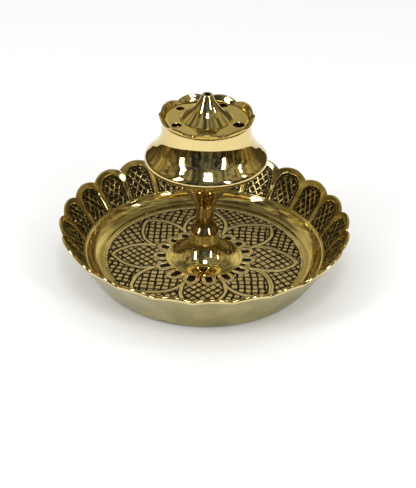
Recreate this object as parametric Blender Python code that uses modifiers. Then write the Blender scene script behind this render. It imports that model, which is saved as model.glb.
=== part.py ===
"""Brass incense burner: scalloped ash dish, bell foot, turned stem, cup and lift-off lid.

Metres, +Z up. The origin is the centre of the dish's foot ring, on the surface it stands on.
Profiles are written in millimetres as (radius, height) and scaled when a mesh is made.
"""
import math

import bmesh
import bpy
from mathutils import Matrix, Vector

MM = 0.001
GAP = 0.3  # clearance between pieces that touch
MERGE = 0.00001  # merge distance of the Screw modifier, in metres

# ash dish
SCALLOPS = 24
SCALLOP_PHASE = -79.0  # direction of one notch between two scallops, in degrees
SCALLOP_STEPS = 4  # segments round each scallop
SCALLOP_RISE = 3.0  # height of a scallop above its notches, along the wall
NOTCH_RADIUS = 67.6  # lip at the notches, inner edge
NOTCH_Z = 24.4
LIP_THICKNESS = 1.55
LEDGE_RADIUS = 57.5  # narrow ledge on top of the inner step
LEDGE_Z = 10.7
LEDGE_WIDTH = 0.7
FLOOR_RADIUS = 48.5
FLOOR_Z = 5.1
UNDERSIDE_Z = 2.9
RING_OUTER = 51.5  # foot ring that the dish stands on
RING_INNER = 47.5

# bell foot
FOOT_RADIUS = 19.0
FOOT_EDGE = 0.6
FOOT_TOP_RADIUS = 6.9
FOOT_TOP_Z = 20.4

# stem
STEM_BASE_RADIUS = 6.8
STEM_WAIST_RADIUS = 4.15
STEM_TOP_RADIUS = 12.6
STEM_TOP_Z = 47.2

# cup
CUP_SCALLOPS = 9
CUP_SCALLOP_PHASE = 90.0
CUP_SCALLOP_STEPS = 6
CUP_SCALLOP_RISE = 1.7
CUP_BASE_RADIUS = 12.8
CUP_BULGE_RADIUS = 29.1
CUP_BULGE_Z = 60.3
CUP_NECK_RADIUS = 20.95
CUP_NECK_Z = 79.4
CUP_NOTCH_RADIUS = 22.0
CUP_NOTCH_Z = 81.7
CUP_FLOOR_THICKNESS = 2.0

# lid
LID_RADIUS = 19.3
LID_THICKNESS = 1.6
LID_TOP_Z = 81.0
SEAT_WIDTH = 1.35  # inward step in the cup's mouth that carries the lid
CONE_RADIUS = 11.6
CONE_TIP_RADIUS = 2.3
CONE_TIP_Z = 93.3
STICK_HOLE_RADIUS = 1.5
VENT_CIRCLE = 16.0
VENTS = ((62.0, 2.2), (142.0, 1.9), (210.0, 2.3), (337.0, 2.6))  # direction in degrees, radius

# tie screw, washer and nut
BORE_RADIUS = 2.3
SHANK_RADIUS = 2.0
HEAD_RADIUS = 4.0
HEAD_HEIGHT = 2.0
SLOT_WIDTH = 1.0
SLOT_DEPTH = 0.9
WASHER_RADIUS = 5.0
WASHER_THICKNESS = 1.0
NUT_FLATS = 7.0
NUT_HEIGHT = 3.2
SHANK_PAST_NUT = 1.2

BRASS = (0.60, 0.47, 0.20)
DARK_BRASS = (0.36, 0.28, 0.12)
STEEL = (0.52, 0.52, 0.50)


def clear_scene():
    """Remove every object that is already in the scene."""
    for obj in list(bpy.data.objects):
        bpy.data.objects.remove(obj, do_unlink=True)


def make_collection(name):
    """Return a new collection linked to the scene."""
    collection = bpy.data.collections.new(name)
    bpy.context.scene.collection.children.link(collection)
    return collection


def metal(name, colour, roughness):
    """Return a plain metallic material."""
    material = bpy.data.materials.new(name)
    material.use_nodes = True
    shader = material.node_tree.nodes["Principled BSDF"]
    shader.inputs["Base Color"].default_value = (*colour, 1.0)
    shader.inputs["Metallic"].default_value = 1.0
    shader.inputs["Roughness"].default_value = roughness
    return material


def smooth_run(points, steps):
    """Points along a Catmull-Rom curve through the given points, both ends included."""
    knots = [Vector(point) for point in points]
    padded = [2 * knots[0] - knots[1], *knots, 2 * knots[-1] - knots[-2]]
    run = []
    for index in range(len(knots) - 1):
        a, b, c, d = padded[index:index + 4]
        for step in range(steps):
            t = step / steps
            point = 0.5 * (2 * b + (c - a) * t + (2 * a - 5 * b + 4 * c - d) * t * t
                           + (3 * b - a - 3 * c + d) * t * t * t)
            run.append(tuple(point))
    run.append(tuple(knots[-1]))
    return run


def turned(name, profile, segments, phase=0.0):
    """A piece turned round Z from a closed profile that runs down its outer side."""
    bm = bmesh.new()
    verts = [bm.verts.new((radius * MM, 0.0, height * MM)) for radius, height in profile]
    for start, end in zip(verts, verts[1:] + verts[:1]):
        bm.edges.new((start, end))
    bm.transform(Matrix.Rotation(math.radians(phase), 4, "Z"))
    mesh = bpy.data.meshes.new(name)
    bm.to_mesh(mesh)
    bm.free()
    obj = bpy.data.objects.new(name, mesh)
    screw = obj.modifiers.new("Turn", "SCREW")
    screw.axis = "Z"
    screw.angle = math.tau
    screw.steps = segments
    screw.render_steps = segments
    screw.use_merge_vertices = True
    screw.merge_threshold = MERGE
    screw.use_normal_calculate = False
    return obj


def made_solid(obj, collection):
    """Replace an object's modifiers by the mesh that they make."""
    collection.objects.link(obj)
    bpy.context.view_layer.update()
    evaluated = obj.evaluated_get(bpy.context.evaluated_depsgraph_get())
    mesh = bpy.data.meshes.new_from_object(evaluated)
    obj.modifiers.clear()
    obj.data = mesh
    return obj


def finish(obj, material, crease=35.0):
    """Give a piece its material and smooth shading, with edges above the crease angle sharp."""
    obj.data.materials.clear()
    obj.data.materials.append(material)
    obj.data.shade_smooth()
    obj.data.set_sharp_from_angle(angle=math.radians(crease))
    return obj


def raise_scallops(obj, count, phase, bottom, top, rise, direction):
    """Push the wall up into scallops: each vertex between two heights moves along the wall."""
    pitch = 360.0 / count
    half_chord = math.radians(pitch / 2) * top[0]
    bow = (half_chord ** 2 + rise ** 2) / (2 * rise)
    for vert in obj.data.vertices:
        height = vert.co.z / MM
        share = (height - bottom[1]) / (top[1] - bottom[1])
        if share <= 0.0:
            continue
        angle = math.degrees(math.atan2(vert.co.y, vert.co.x)) - phase
        across = 2 * ((angle % pitch) / pitch) - 1
        lift = math.sqrt(bow ** 2 - (across * half_chord) ** 2) - (bow - rise)
        move = lift * min(share, 1.0) ** 2 * MM
        outward = Vector((vert.co.x, vert.co.y, 0.0)).normalized()
        vert.co += outward * direction[0] * move
        vert.co.z += direction[1] * move


def cutter(name, primitive, collection, **settings):
    """A primitive that only cuts other pieces."""
    primitive(**settings)
    obj = bpy.context.object
    obj.name = name
    for owner in list(obj.users_collection):
        owner.objects.unlink(obj)
    collection.objects.link(obj)
    obj.hide_render = True
    obj.display_type = "WIRE"
    return obj


def cut(obj, tool):
    """Subtract one cutter from a piece."""
    boolean = obj.modifiers.new("Cut " + tool.name, "BOOLEAN")
    boolean.operation = "DIFFERENCE"
    boolean.solver = "EXACT"
    boolean.object = tool


def make_dish(parts, material):
    """The ash dish: foot ring, flat floor, inner step and flared scalloped wall."""
    slope = Vector((NOTCH_RADIUS - LEDGE_RADIUS - LEDGE_WIDTH, NOTCH_Z - LEDGE_Z)).normalized()
    lip = (NOTCH_RADIUS + LIP_THICKNESS * slope[1], NOTCH_Z - LIP_THICKNESS * slope[0])
    outside = [lip, (64.3, 17.3), (60.4, 11.6), (57.4, 6.7), (54.9, 2.8)]
    foot_ring = [(53.3, 0.9), (RING_OUTER, 0.0), (RING_INNER, 0.0), (46.4, 1.2), (45.6, UNDERSIDE_Z)]
    bore = [(BORE_RADIUS, UNDERSIDE_Z), (BORE_RADIUS, FLOOR_Z)]
    floor = [(FLOOR_RADIUS, FLOOR_Z), (FLOOR_RADIUS + 0.6, FLOOR_Z + 0.5)]
    step = [(51.6, 5.75), (53.6, 6.6), (55.3, 7.95), (56.4, 9.2)]
    ledge = [(LEDGE_RADIUS - 0.2, LEDGE_Z - 0.2), (LEDGE_RADIUS + 0.1, LEDGE_Z),
             (LEDGE_RADIUS + LEDGE_WIDTH, LEDGE_Z)]
    wall = [(62.5, 17.0), (NOTCH_RADIUS, NOTCH_Z)]
    profile = outside + foot_ring + bore + floor + step + ledge + wall
    dish = turned("dish", profile, SCALLOPS * SCALLOP_STEPS, SCALLOP_PHASE)
    made_solid(dish, parts)
    raise_scallops(dish, SCALLOPS, SCALLOP_PHASE, (LEDGE_RADIUS, LEDGE_Z),
                   (NOTCH_RADIUS, NOTCH_Z), SCALLOP_RISE, slope)
    return finish(dish, material)


def make_foot(parts, material):
    """The bell-shaped foot that stands on the dish's floor, hollow below."""
    base = FLOOR_Z + GAP
    outside = smooth_run([(FOOT_TOP_RADIUS, FOOT_TOP_Z), (7.1, 18.2), (7.5, 15.2), (8.5, 12.7),
                          (10.2, 10.4), (12.6, 8.2), (15.2, 6.8), (FOOT_RADIUS, base + FOOT_EDGE)], 2)
    edge = [(FOOT_RADIUS, base), (FOOT_RADIUS - 1.4, base)]
    inside = [(15.0, 5.8), (12.6, 6.7), (10.4, 8.1), (8.6, 9.9), (7.2, 12.2), (6.2, 14.6),
              (5.0, 16.4), (BORE_RADIUS, 16.4)]
    foot = turned("bell_foot", outside + edge + inside + [(BORE_RADIUS, FOOT_TOP_Z)], 40)
    made_solid(foot, parts)
    return finish(foot, material)


def make_stem(parts, material):
    """The stem: a trumpet that flares up to the cup from a narrow waist and a flared base."""
    base = FOOT_TOP_Z + GAP
    outside = [(STEM_TOP_RADIUS, STEM_TOP_Z)]
    outside += smooth_run([(STEM_TOP_RADIUS, STEM_TOP_Z - 0.3), (9.5, 43.1), (7.6, 40.2),
                           (4.65, 34.3), (STEM_WAIST_RADIUS, 30.5), (4.35, 26.2), (5.0, 24.2),
                           (6.2, 22.3), (STEM_BASE_RADIUS, base + 0.5)], 2)
    ends = [(STEM_BASE_RADIUS, base), (BORE_RADIUS, base), (BORE_RADIUS, STEM_TOP_Z)]
    stem = turned("stem", outside + ends, 36)
    made_solid(stem, parts)
    return finish(stem, material)


def make_cup(parts, material):
    """The cup: low rounded body, waisted neck and scalloped mouth with a seat for the lid."""
    base = STEM_TOP_Z + GAP
    floor = base + CUP_FLOOR_THICKNESS
    seat = LID_TOP_Z - LID_THICKNESS - GAP
    mouth = LID_RADIUS + 0.35
    outside = smooth_run([(CUP_NOTCH_RADIUS, CUP_NOTCH_Z), (CUP_NECK_RADIUS, CUP_NECK_Z), (21.15, 74.5),
                          (22.8, 69.5), (24.3, 67.0), (26.5, 64.5), (28.8, 62.0),
                          (CUP_BULGE_RADIUS, CUP_BULGE_Z), (28.2, 58.7)], 2)
    underside = [(26.0, 57.4), (22.0, 56.1), (18.2, 54.3), (15.6, 51.7), (13.8, 49.3)]
    bore = [(CUP_BASE_RADIUS, base), (BORE_RADIUS, base), (BORE_RADIUS, floor)]
    inside = [(9.8, floor), (12.4, 53.6), (16.6, 56.0), (24.0, 58.9), (26.9, 60.6), (26.8, 62.0),
              (24.8, 64.6), (22.6, 67.0), (21.0, 69.4), (19.6, 73.5), (mouth - SEAT_WIDTH, 76.0)]
    rebate = [(mouth - SEAT_WIDTH, seat), (mouth, seat), (mouth, LID_TOP_Z - 0.4)]
    profile = outside + underside + bore + inside + rebate + [(CUP_NOTCH_RADIUS - 1.1, CUP_NOTCH_Z)]
    cup = turned("cup", profile, CUP_SCALLOPS * CUP_SCALLOP_STEPS, CUP_SCALLOP_PHASE)
    made_solid(cup, parts)
    raise_scallops(cup, CUP_SCALLOPS, CUP_SCALLOP_PHASE, (CUP_NECK_RADIUS, 81.0),
                   (CUP_NOTCH_RADIUS, CUP_NOTCH_Z), CUP_SCALLOP_RISE, Vector((0.3, 0.95)))
    return finish(cup, material)


def make_lid(parts, cutters, material):
    """The lid: a disc with a hollow cone for the incense stick and four drilled vents."""
    under = LID_TOP_Z - LID_THICKNESS
    tip = (CONE_TIP_RADIUS, CONE_TIP_Z)
    cone = [tip] + smooth_run([(2.6, 92.6), (4.4, 89.0), (7.2, 85.4), (CONE_RADIUS, LID_TOP_Z + 0.3)], 2)
    groove = [(CONE_RADIUS, LID_TOP_Z - 0.35), (CONE_RADIUS + 0.5, LID_TOP_Z - 0.35),
              (CONE_RADIUS + 0.8, LID_TOP_Z)]
    disc = [(LID_RADIUS, LID_TOP_Z), (LID_RADIUS, under)]
    hollow = [(9.4, under), (6.1, 83.8), (3.2, 87.6), (STICK_HOLE_RADIUS, 90.0)]
    lid = turned("lid", cone + groove + disc + hollow + [(STICK_HOLE_RADIUS, CONE_TIP_Z)], 48)
    made_solid(lid, parts)
    for number, (direction, radius) in enumerate(VENTS, start=1):
        angle = math.radians(direction)
        place = (VENT_CIRCLE * math.cos(angle) * MM, VENT_CIRCLE * math.sin(angle) * MM,
                 (LID_TOP_Z - LID_THICKNESS / 2) * MM)
        drill = cutter(f"vent_drill_{number}", bpy.ops.mesh.primitive_cylinder_add, cutters,
                       vertices=16, radius=radius * MM, depth=3 * LID_THICKNESS * MM,
                       location=place)
        cut(lid, drill)
    return finish(lid, material)


def make_tie_screw(parts, cutters, material):
    """The long slotted screw that draws dish, foot, stem and cup together."""
    head_top = UNDERSIDE_Z - GAP
    head_base = head_top - HEAD_HEIGHT
    end = STEM_TOP_Z + CUP_FLOOR_THICKNESS + WASHER_THICKNESS + NUT_HEIGHT + 3 * GAP + SHANK_PAST_NUT
    profile = [(0.0, end), (SHANK_RADIUS - 0.5, end), (SHANK_RADIUS, end - 0.5),
               (SHANK_RADIUS, head_top), (HEAD_RADIUS, head_top), (HEAD_RADIUS, head_base + 0.6),
               (HEAD_RADIUS - 0.7, head_base), (0.0, head_base)]
    screw = turned("tie_screw", profile, 24)
    screw.data = open_on_axis(screw.data)
    made_solid(screw, parts)
    slot = cutter("slot_blade", bpy.ops.mesh.primitive_cube_add, cutters, size=1.0,
                  location=(0.0, 0.0, head_base * MM))
    slot.data.transform(Matrix.Diagonal((3 * HEAD_RADIUS * MM, SLOT_WIDTH * MM,
                                         2 * SLOT_DEPTH * MM, 1.0)))
    cut(screw, slot)
    return finish(screw, material)


def open_on_axis(mesh):
    """Remove the profile's edge that lies on the axis, so that the ends close at one point each."""
    bm = bmesh.new()
    bm.from_mesh(mesh)
    on_axis = [edge for edge in bm.edges if all(vert.co.to_2d().length < 1e-7 for vert in edge.verts)]
    bmesh.ops.delete(bm, geom=on_axis, context="EDGES_FACES")
    bm.to_mesh(mesh)
    bm.free()
    return mesh


def make_washer(parts, material):
    """The plain washer on the cup's floor."""
    low = STEM_TOP_Z + GAP + CUP_FLOOR_THICKNESS + GAP
    high = low + WASHER_THICKNESS
    profile = [(WASHER_RADIUS, high), (WASHER_RADIUS, low), (BORE_RADIUS, low), (BORE_RADIUS, high)]
    washer = turned("washer", profile, 28)
    made_solid(washer, parts)
    return finish(washer, material)


def make_nut(parts, cutters, material):
    """The hexagon nut that clamps the cup down on the washer."""
    low = STEM_TOP_Z + 3 * GAP + CUP_FLOOR_THICKNESS + WASHER_THICKNESS
    centre = (0.0, 0.0, (low + NUT_HEIGHT / 2) * MM)
    bpy.ops.mesh.primitive_cylinder_add(vertices=6, depth=NUT_HEIGHT * MM, location=centre,
                                        radius=NUT_FLATS / 2 / math.cos(math.pi / 6) * MM)
    nut = bpy.context.object
    nut.name = "hex_nut"
    for owner in list(nut.users_collection):
        owner.objects.unlink(nut)
    parts.objects.link(nut)
    drill = cutter("nut_drill", bpy.ops.mesh.primitive_cylinder_add, cutters, vertices=24,
                   radius=BORE_RADIUS * MM, depth=2 * NUT_HEIGHT * MM, location=centre)
    cut(nut, drill)
    return finish(nut, material)


def main():
    """Build every piece of the burner."""
    clear_scene()
    parts = make_collection("incense_burner")
    cutters = make_collection("incense_burner_cutters")
    polished = metal("polished_brass", BRASS, 0.12)
    satin = metal("dish_brass", BRASS, 0.3)
    dull = metal("fastener_brass", DARK_BRASS, 0.4)
    zinc = metal("zinc_steel", STEEL, 0.35)
    make_dish(parts, satin)
    make_foot(parts, polished)
    make_stem(parts, polished)
    make_cup(parts, polished)
    make_lid(parts, cutters, polished)
    make_tie_screw(parts, cutters, dull)
    make_washer(parts, zinc)
    make_nut(parts, cutters, zinc)


main()
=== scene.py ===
"""Brass incense burner with a chased ash dish, a bell foot, a turned stem, a cup and a cone lid.

Metres, +Z up. Profiles are written in millimetres as (radius, height) and scaled when meshes are made.
Angles of the pattern are in degrees, counted from +X and counter-clockwise seen from above.
"""
import logging
import math
from dataclasses import dataclass
from enum import Enum
from typing import Callable, Sequence

import bmesh
import bpy
import numpy as np
from mathutils import Matrix, Vector


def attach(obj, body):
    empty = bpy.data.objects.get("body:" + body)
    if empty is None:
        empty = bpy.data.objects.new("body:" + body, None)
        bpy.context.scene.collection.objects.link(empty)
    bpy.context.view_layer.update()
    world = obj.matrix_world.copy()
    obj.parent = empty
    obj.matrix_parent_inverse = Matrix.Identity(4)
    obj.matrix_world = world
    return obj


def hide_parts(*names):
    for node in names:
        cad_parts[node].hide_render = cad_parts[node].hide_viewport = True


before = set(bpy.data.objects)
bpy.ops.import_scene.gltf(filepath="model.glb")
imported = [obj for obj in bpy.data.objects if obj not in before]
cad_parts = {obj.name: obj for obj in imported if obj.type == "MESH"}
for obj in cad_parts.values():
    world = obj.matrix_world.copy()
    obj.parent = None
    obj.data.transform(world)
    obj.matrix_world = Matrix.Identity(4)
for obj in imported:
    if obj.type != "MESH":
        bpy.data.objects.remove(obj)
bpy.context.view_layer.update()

MM = 0.001
BORE = 2.3  # radius of the hole that the screw passes through, in millimetres
LAST_RUN = 10 ** 6  # past the last profile index of any piece
CROSSING_WAVES = 9  # waves that make up one uneven field
CHASED_CREASE = 60.0  # chased relief is shaded smooth up to this angle, in degrees
Point = tuple[float, float]
Colour = tuple[float, float, float]
Array = np.ndarray
log = logging.getLogger("burner")


class Slot(Enum):
    """Material slots of the record."""

    DISH = "dish_brass"
    POLISHED = "polished_brass"
    FASTENER = "fastener_brass"
    ZINC = "zinc_steel"


class Mask(Enum):
    """Vertex attributes that drive the finishes."""

    PATINA = "patina"
    GLOSS = "gloss"
    SATIN = "satin"


# ---------------------------------------------------------------- profiles and number fields


def smooth_run(points: Sequence[Point], spacing: float) -> list[Point]:
    """Resample a Catmull-Rom curve through a row of points.

    Args:
        points: Profile points in millimetres.
        spacing: Distance between the returned points, in millimetres.

    Returns:
        Evenly spaced points, both ends included.
    """
    knots = [Vector(point) for point in points]
    padded = [2 * knots[0] - knots[1], *knots, 2 * knots[-1] - knots[-2]]
    dense = []
    for index in range(len(knots) - 1):
        a, b, c, d = padded[index:index + 4]
        for step in range(24):
            t = step / 24
            dense.append(0.5 * (2 * b + (c - a) * t + (2 * a - 5 * b + 4 * c - d) * t * t
                                + (3 * b - a - 3 * c + d) * t * t * t))
    dense.append(knots[-1])
    return even_run([tuple(point) for point in dense], spacing)


def even_run(points: Sequence[Point], spacing: float) -> list[Point]:
    """Resample a polyline at an even spacing, both ends included.

    Args:
        points: Profile points in millimetres.
        spacing: Wanted distance between the returned points, in millimetres.

    Returns:
        The new row of points.
    """
    rows = np.array(points, float)
    along = np.concatenate([[0.0], np.cumsum(np.hypot(*np.diff(rows, axis=0).T))])
    count = max(2, int(round(along[-1] / spacing)) + 1)
    places = np.linspace(0.0, along[-1], count)
    return [(float(np.interp(place, along, rows[:, 0])), float(np.interp(place, along, rows[:, 1])))
            for place in places]


def ease(low: float, high: float, value: Array) -> Array:
    """Smooth step from 0 at low to 1 at high.

    Args:
        low: Value where the result leaves 0.
        high: Value where the result reaches 1.
        value: Numbers to map.

    Returns:
        The eased numbers.
    """
    t = np.clip((value - low) / (high - low), 0.0, 1.0)
    return t * t * (3.0 - 2.0 * t)


def band(distance: Array, half: float | Array, soft: float = 0.3) -> Array:
    """1 within half of zero distance, falling to 0 over a soft edge.

    Args:
        distance: Signed distances in millimetres.
        half: Half width of the raised line.
        soft: Width of its edge.

    Returns:
        The height shares.
    """
    return 1.0 - ease(-0.5, 0.5, (np.abs(distance) - half) / soft)


def chance(*keys: Array | float) -> Array:
    """Repeatable number from 0 to 1 for whole-number keys.

    Args:
        keys: Cell numbers and a seed.

    Returns:
        One number for each set of keys.
    """
    total = sum(np.asarray(key, float) * factor for key, factor in zip(keys, (12.9898, 78.233, 37.719)))
    return np.mod(np.sin(total) * 43758.5453, 1.0)


def ripple(x: Array, y: Array, z: Array, length: float, seed: int) -> Array:
    """Smooth uneven field from a few crossing waves.

    Args:
        x: First coordinate in millimetres.
        y: Second coordinate.
        z: Third coordinate.
        length: Typical wave length in millimetres.
        seed: Seed of the directions and phases.

    Returns:
        Numbers around 0, mostly within -1 and 1.
    """
    rng = np.random.default_rng(seed)
    total = np.zeros_like(x)
    for _ in range(CROSSING_WAVES):
        way = rng.normal(size=3)
        way *= math.tau / (length * rng.uniform(0.7, 1.5)) / np.linalg.norm(way)
        total += np.sin(way[0] * x + way[1] * y + way[2] * z + rng.uniform(0, math.tau))
    return total / math.sqrt(CROSSING_WAVES)


# ---------------------------------------------------------------- turned bodies


@dataclass
class Turning:
    """A body turned round Z whose surface can then be shaped by height fields.

    Attributes:
        name: Name of the object.
        profile: Closed profile in millimetres.
        steps: Segments round the axis.
        phase: Direction of the first segment in degrees.
    """

    name: str
    profile: list[Point]
    steps: int
    phase: float = 0.0

    def build(self) -> bpy.types.Object:
        """Spin the profile into a closed mesh.

        Returns:
            The new object, linked to the scene, with the profile index of each vertex in "run".
        """
        bm = bmesh.new()
        run = bm.verts.layers.float.new("run")
        verts = []
        for number, (radius, height) in enumerate(self.profile):
            vert = bm.verts.new((radius * MM, 0.0, height * MM))
            vert[run] = float(number)
            verts.append(vert)
        edges = [bm.edges.new(pair) for pair in zip(verts, verts[1:])]
        if self.profile[0][0] > 0.0 or self.profile[-1][0] > 0.0:
            edges.append(bm.edges.new((verts[-1], verts[0])))
        bm.transform(Matrix.Rotation(math.radians(self.phase), 4, "Z"))
        sectors = next(count for count in (24, 12, 9, 8, 6, 4, 1) if self.steps % count == 0)
        about = {"cent": (0, 0, 0), "axis": (0, 0, 1), "dvec": (0, 0, 0)}
        bmesh.ops.spin(bm, geom=verts + edges, angle=math.tau / sectors, steps=self.steps // sectors,
                       use_merge=sectors == 1, use_duplicate=False, **about)
        if sectors > 1:
            bmesh.ops.spin(bm, geom=bm.verts[:] + bm.edges[:] + bm.faces[:], angle=math.tau,
                           steps=sectors, use_merge=False, use_duplicate=True, **about)
        bmesh.ops.remove_doubles(bm, verts=bm.verts, dist=2e-7)
        bmesh.ops.recalc_face_normals(bm, faces=bm.faces)
        mesh = bpy.data.meshes.new(self.name)
        bm.to_mesh(mesh)
        bm.free()
        obj = bpy.data.objects.new(self.name, mesh)
        bpy.context.scene.collection.objects.link(obj)
        return obj


class Surface:
    """Array view of a turned mesh in millimetres, for shaping and for masks."""

    def __init__(self, obj: bpy.types.Object) -> None:
        """Read the vertices.

        Args:
            obj: A mesh made by Turning.
        """
        self.mesh = obj.data
        count = len(self.mesh.vertices)
        flat = np.empty(count * 3, np.float32)
        self.mesh.vertices.foreach_get("co", flat)
        self.co = flat.reshape(-1, 3).astype(float) / MM
        self.run = np.empty(count, np.float32)
        self.mesh.attributes["run"].data.foreach_get("value", self.run)

    @property
    def radius(self) -> Array:
        """Distance of each vertex from the axis."""
        return np.hypot(self.co[:, 0], self.co[:, 1])

    @property
    def angle(self) -> Array:
        """Direction of each vertex in degrees."""
        return np.degrees(np.arctan2(self.co[:, 1], self.co[:, 0]))

    def between(self, first: int, last: int) -> Array:
        """Which vertices come from a stretch of the profile.

        Args:
            first: First profile index.
            last: Last profile index.

        Returns:
            A boolean for each vertex.
        """
        return (self.run > first - 0.5) & (self.run < last + 0.5)

    def push(self, outward: Array | float, upward: Array | float) -> None:
        """Move every vertex away from the axis and up.

        Args:
            outward: Radial move in millimetres.
            upward: Vertical move in millimetres.
        """
        radius = np.maximum(self.radius, 1e-6)
        unit = self.co[:, :2] / radius[:, None]
        self.co[:, :2] += unit * np.broadcast_to(outward, radius.shape)[:, None]
        self.co[:, 2] += upward

    def unevenness(self, amount: float, length: float, seed: int) -> None:
        """Give the surface the slight unevenness of hand work.

        Args:
            amount: Typical move in millimetres.
            length: Typical distance between bumps in millimetres.
            seed: Seed of the field.
        """
        field = ripple(*self.co.T, length, seed)
        clear = ease(2.5, 5.0, self.radius)
        self.push(field * amount * clear, 0.0)

    def mask(self, name: Mask, values: Array) -> None:
        """Store a vertex mask.

        Args:
            name: Which mask.
            values: One number from 0 to 1 for each vertex.
        """
        attribute = self.mesh.attributes.new(name.value, "FLOAT", "POINT")
        attribute.data.foreach_set("value", np.clip(values, 0.0, 1.0).astype(np.float32))

    def write(self) -> None:
        """Write the shaped vertices back to the mesh."""
        self.mesh.vertices.foreach_set("co", (self.co * MM).astype(np.float32).ravel())
        self.mesh.attributes.remove(self.mesh.attributes["run"])
        self.mesh.update()


def scallop_lift(angle: Array, count: int, phase: float, rise: float, radius: float) -> Array:
    """Height of a scalloped edge above its notches.

    Args:
        angle: Directions in degrees.
        count: Number of scallops.
        phase: Direction of one notch in degrees.
        rise: Height of a scallop.
        radius: Radius of the edge in millimetres.

    Returns:
        The lift in millimetres.
    """
    pitch = 360.0 / count
    half = math.radians(pitch / 2) * radius
    bow = (half ** 2 + rise ** 2) / (2 * rise)
    across = 2 * np.mod(angle - phase, pitch) / pitch - 1
    return np.sqrt(bow ** 2 - (across * half) ** 2) - (bow - rise)


def settle(obj: bpy.types.Object, body: str, material: bpy.types.Material,
           nodes: Sequence[str], crease: float = 40.0) -> bpy.types.Object:
    """Shade a finished piece, give it its finish and tie it to the frame.

    Args:
        obj: The piece.
        body: Body that it moves with.
        material: Its finish.
        nodes: Nodes of the frame that it stands for.
        crease: Edges above this angle in degrees stay sharp.

    Returns:
        The same piece.
    """
    obj.data.materials.clear()
    obj.data.materials.append(material)
    obj.data.shade_smooth()
    obj.data.set_sharp_from_angle(angle=math.radians(crease))
    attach(obj, body)
    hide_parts(*nodes)
    log.info("%s: %d faces", obj.name, len(obj.data.polygons))
    return obj


# ---------------------------------------------------------------- shader graphs


class Graph:
    """Adds and links nodes in one shader tree."""

    def __init__(self, tree: bpy.types.NodeTree) -> None:
        """Hold the tree.

        Args:
            tree: The tree to build in.
        """
        self.tree = tree

    def put(self, kind: str, inputs: dict | None = None, **settings: object) -> bpy.types.Node:
        """Add a node.

        Args:
            kind: Node type.
            inputs: Socket names or indices, with a value or an output socket to link.
            settings: Attributes of the node.

        Returns:
            The node.
        """
        node = self.tree.nodes.new(kind)
        for key, value in settings.items():
            setattr(node, key, value)
        for key, value in (inputs or {}).items():
            if isinstance(value, bpy.types.NodeSocket):
                self.tree.links.new(value, node.inputs[key])
            else:
                node.inputs[key].default_value = value
        return node

    def math(self, operation: str, *values: object, clamp: bool = False) -> bpy.types.NodeSocket:
        """Add a Math node.

        Args:
            operation: Its operation.
            values: Numbers or sockets.
            clamp: Whether the result stays within 0 and 1.

        Returns:
            Its result.
        """
        return self.put("ShaderNodeMath", dict(enumerate(values)), operation=operation,
                        use_clamp=clamp).outputs[0]

    def ease(self, value: object, low: float, high: float, out_low: float = 0.0,
             out_high: float = 1.0) -> bpy.types.NodeSocket:
        """Map a range smoothly to another.

        Args:
            value: Number or socket.
            low: Start of the range.
            high: End of the range.
            out_low: Result at the start.
            out_high: Result at the end.

        Returns:
            The mapped value.
        """
        return self.put("ShaderNodeMapRange", {0: value, 1: low, 2: high, 3: out_low, 4: out_high},
                        interpolation_type="SMOOTHSTEP").outputs[0]

    def blend(self, share: object, first: object, second: object) -> bpy.types.NodeSocket:
        """Mix two colours.

        Args:
            share: Share of the second colour.
            first: First colour.
            second: Second colour.

        Returns:
            The mixed colour.
        """
        pair = [(*c, 1.0) if isinstance(c, tuple) and len(c) == 3 else c for c in (first, second)]
        return self.put("ShaderNodeMix", {0: share, 6: pair[0], 7: pair[1]},
                        data_type="RGBA").outputs[2]

    def noise(self, place: object, scale: float, detail: float = 3.0, rough: float = 0.55,
              twist: float = 0.0) -> bpy.types.NodeSocket:
        """Add a noise texture.

        Args:
            place: Coordinates.
            scale: Scale per metre.
            detail: Number of octaves.
            rough: Strength of the fine octaves.
            twist: Distortion.

        Returns:
            The noise value.
        """
        return self.put("ShaderNodeTexNoise", {"Vector": place, "Scale": scale, "Detail": detail,
                                               "Roughness": rough, "Distortion": twist}).outputs[0]


def open_group(name: str, inputs: Sequence[tuple[str, float]],
               outputs: Sequence[str]) -> tuple[Graph, bpy.types.Node, bpy.types.Node]:
    """Start a shader node group with plain number sockets.

    Args:
        name: Name of the group.
        inputs: Names and defaults of its inputs.
        outputs: Names of its outputs.

    Returns:
        Its graph, its input node and its output node.
    """
    tree = bpy.data.node_groups.new(name, "ShaderNodeTree")
    for label, default in inputs:
        socket = tree.interface.new_socket(label, in_out="INPUT", socket_type="NodeSocketFloat")
        socket.default_value = default
    for label in outputs:
        tree.interface.new_socket(label, in_out="OUTPUT", socket_type="NodeSocketFloat")
    graph = Graph(tree)
    return graph, graph.put("NodeGroupInput"), graph.put("NodeGroupOutput")


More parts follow.
